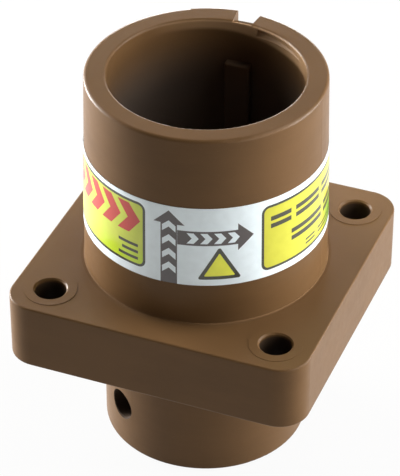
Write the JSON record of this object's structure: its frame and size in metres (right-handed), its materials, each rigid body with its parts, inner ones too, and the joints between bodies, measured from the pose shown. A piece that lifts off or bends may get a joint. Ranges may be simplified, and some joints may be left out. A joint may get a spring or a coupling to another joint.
{
  "type": "single pole push and turn locking panel receptacle",
  "caption": "Single-pole heavy-current panel receptacle: keyed round collar with a wrapped label on a square flange, set-screw cable barrel behind.",
  "frame": {"origin": "centre of the four-hole pattern on the flange's rear face, on the collar's axis", "axes": "+Z along the collar's axis, out of the mouth that the plug enters; X and Y along the flange's sides; +Y towards the rim notch and the key rib"},
  "size_m": [0.0834, 0.0834, 0.1107],
  "materials": {
    "brown_moulding": "satin brown glass-filled moulding",
    "label_film": "pale printed film",
    "silver_plate": "silver-plated turned brass",
    "black_insulator": "satin black insulator",
    "black_rubber": "matt black rubber",
    "bright_steel": "bright zinc-plated steel",
    "brass_ring": "plain turned brass"
  },
  "bodies": {
    "root": {"housing": "brown_moulding", "label_band": "label_film", "contact_body": "silver_plate", "contact_band_front": "silver_plate", "contact_band_rear": "silver_plate", "nose_ring": "black_insulator", "neck_seal": "black_rubber", "panel_seal": "black_rubber", "shoulder_gasket": "black_rubber", "locating_dowel": "bright_steel", "thrust_washer": "bright_steel", "retaining_ring": "brass_ring", "clamp_screw_1": "bright_steel", "clamp_screw_2": "bright_steel"}
  },
  "joints": []
}
